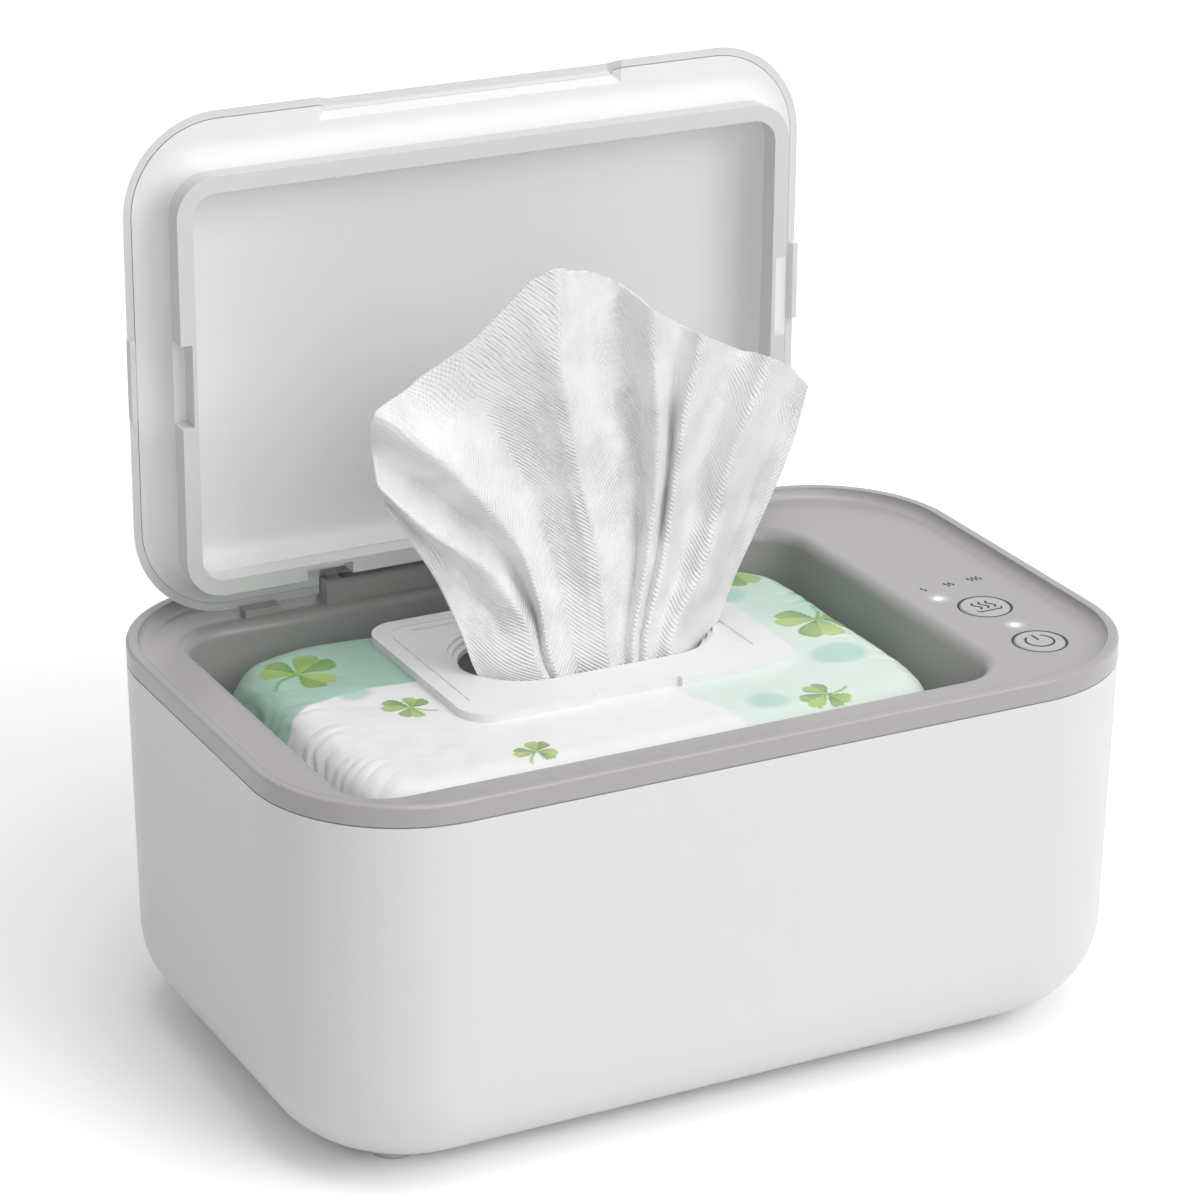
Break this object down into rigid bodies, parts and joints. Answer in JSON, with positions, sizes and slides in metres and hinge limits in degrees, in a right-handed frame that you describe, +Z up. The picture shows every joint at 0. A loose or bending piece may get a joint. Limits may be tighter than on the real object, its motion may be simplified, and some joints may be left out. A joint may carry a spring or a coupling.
{
  "type": "baby wipe warmer",
  "caption": "Rounded box warmer for baby wipes with a hinged lid open, a soft pack of wipes in its heated well and a wipe standing out of the dispenser mouth.",
  "frame": {"origin": "on the table, under the middle of the housing's rim", "axes": "+Z up, -Y towards the user at the front, +X towards the control panel on the right"},
  "size_m": [0.25, 0.16, 0.2495],
  "materials": {
    "housing": "satin",
    "liner": "satin",
    "rubber": "matte",
    "steel": "brushed",
    "aluminium": "satin",
    "film": "satin",
    "foam": "matte",
    "ceramic": "matte",
    "black_plastic": "matte",
    "board": "satin",
    "led": "gloss",
    "clear": "gloss",
    "lead_red": "matte",
    "lead_white": "matte",
    "cap": "matte",
    "lid": "satin",
    "seal": "matte",
    "film_pack": "soft",
    "frame": "satin",
    "wipe": "matte"
  },
  "bodies": {
    "housing": {"outer_housing": "housing", "rubber_feet": "rubber", "tub_screws": "steel", "liner_tub": "liner", "heat_spreader": "aluminium", "heater_film": "film", "insulation_pad": "foam", "heater_retainer": "steel", "retainer_screws": "steel", "thermal_fuse": "ceramic", "temperature_sensor": "black_plastic", "control_board": "board", "board_screws": "steel", "button_switches": "black_plastic", "indicator_leds": "led", "light_pipes": "clear", "power_jack": "black_plastic", "jack_leads": "lead_red", "heater_leads": "lead_white", "hinge_pins": "steel", "wipe_pack": "film_pack", "dispenser_frame": "frame", "wipe_sheet": "wipe"},
    "lid": {"lid_shell": "lid", "lid_inner": "lid", "lid_seal": "seal"},
    "heat_button": {"heat_button": "cap", "heat_plunger": "lead_white"},
    "power_button": {"power_button": "cap", "power_plunger": "lead_white"}
  },
  "joints": [
    {"name": "lid_hinge", "type": "hinge", "parent": "housing", "child": "lid", "pos_m": [-0.014, 0.064, 0.1103], "axis": [1, 0, 0], "range_deg": [0, 90], "deforming": ["wipe_sheet"]},
    {"name": "heat_press", "type": "slide", "parent": "housing", "child": "heat_button", "axis": [0, 0, -1], "range_m": [0, 0.0006], "stiffness_N_per_m": 300, "springref_m": -0.001},
    {"name": "power_press", "type": "slide", "parent": "housing", "child": "power_button", "axis": [0, 0, -1], "range_m": [0, 0.0006], "stiffness_N_per_m": 300, "springref_m": -0.001}
  ]
}
